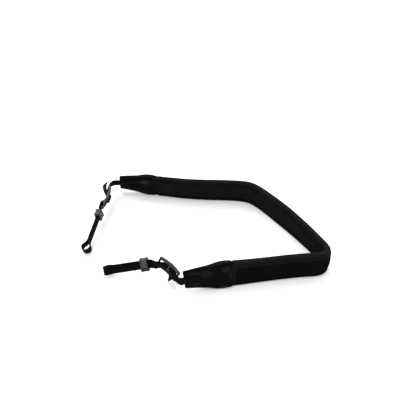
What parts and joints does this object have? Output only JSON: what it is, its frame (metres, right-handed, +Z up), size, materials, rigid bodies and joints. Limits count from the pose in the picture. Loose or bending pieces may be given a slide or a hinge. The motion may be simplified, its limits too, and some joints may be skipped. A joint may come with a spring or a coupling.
{
  "type": "neck strap",
  "caption": "Padded black neck strap standing on edge in a wide loop, with tapered leather tabs and webbing ends that carry slide buckles, keepers and lug loops.",
  "frame": {"origin": "middle of the strap's bounding box, on the floor under its resting edge", "axes": "+X to the right of the picture, along the longest side; +Y away from the viewer; +Z up"},
  "size_m": [0.277, 0.1568, 0.0351],
  "materials": {
    "jersey": "matt knitted jersey over foam",
    "leather": "fine grain with a low sheen",
    "webbing": "woven nylon",
    "plastic": "moulded, satin",
    "rubber": "soft, matt"
  },
  "bodies": {
    "root": {"band": "jersey", "tab_near": "leather", "tab_far": "leather", "web_near": "webbing", "web_far": "webbing", "buckle_near": "plastic", "buckle_far": "plastic", "keeper_near": "rubber", "keeper_far": "rubber"}
  },
  "joints": []
}
